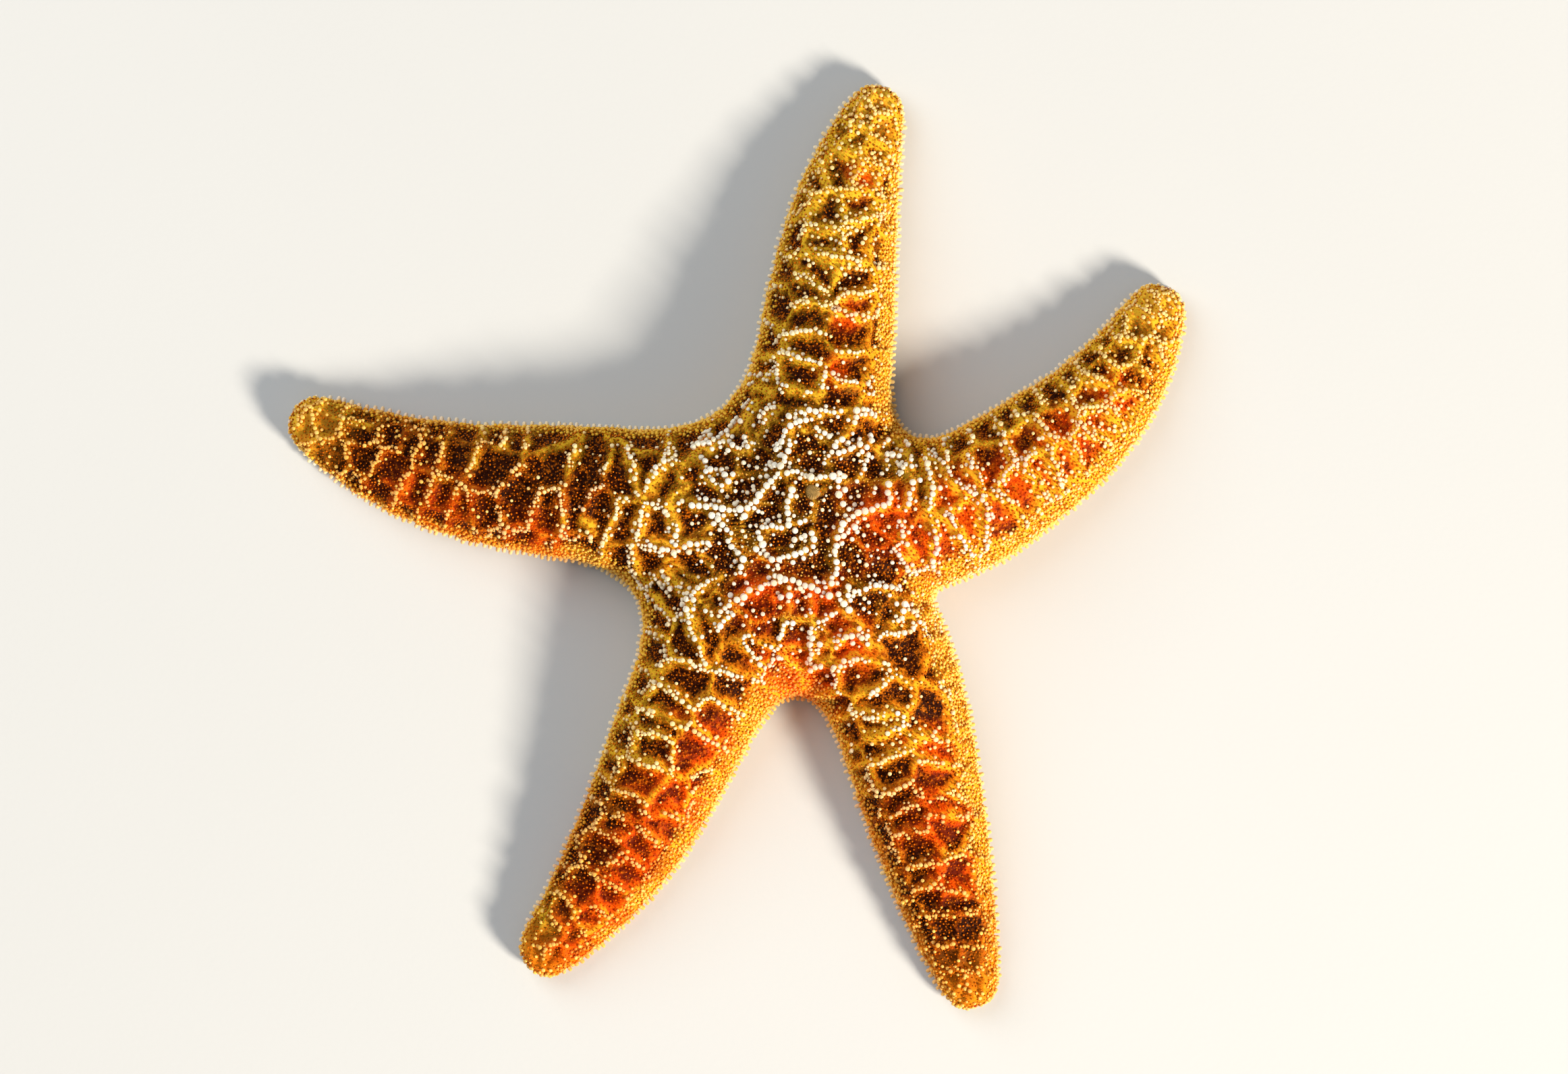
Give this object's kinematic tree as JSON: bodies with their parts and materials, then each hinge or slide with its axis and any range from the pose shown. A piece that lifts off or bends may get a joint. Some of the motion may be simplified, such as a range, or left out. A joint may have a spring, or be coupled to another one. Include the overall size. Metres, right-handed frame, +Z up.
{
  "type": "ochre sea star",
  "caption": "Life-size ochre sea star resting flat, with a domed disc, bent tapering arms, sieve plate, grooved underside, mouth and eyespots at the arm tips.",
  "frame": {"origin": "on the floor under the middle of the outline's box", "axes": "+Z up out of the back, +Y towards the arm named top, +X to the right as seen from above with that arm away from the viewer"},
  "size_m": [0.1944, 0.1998, 0.026],
  "materials": {
    "skin": "damp leathery skin, dark brown pits and orange ridges",
    "spines": "blunt chalky spine heads, white on the disc and golden on the arms",
    "tube_feet": "soft wet translucent tube feet",
    "sieve_plate": "finely grooved chalky plate",
    "soft_mouth": "soft wet lips",
    "eyespot": "wet red pigment"
  },
  "bodies": {
    "root": {"disc": "skin", "arm_top": "skin", "arm_right": "skin", "arm_lower_right": "skin", "arm_lower_left": "skin", "arm_left": "skin", "madreporite": "sieve_plate", "mouth": "soft_mouth", "eyespot_top": "eyespot", "eyespot_right": "eyespot", "eyespot_lower_right": "eyespot", "eyespot_lower_left": "eyespot", "eyespot_left": "eyespot"}
  },
  "joints": []
}
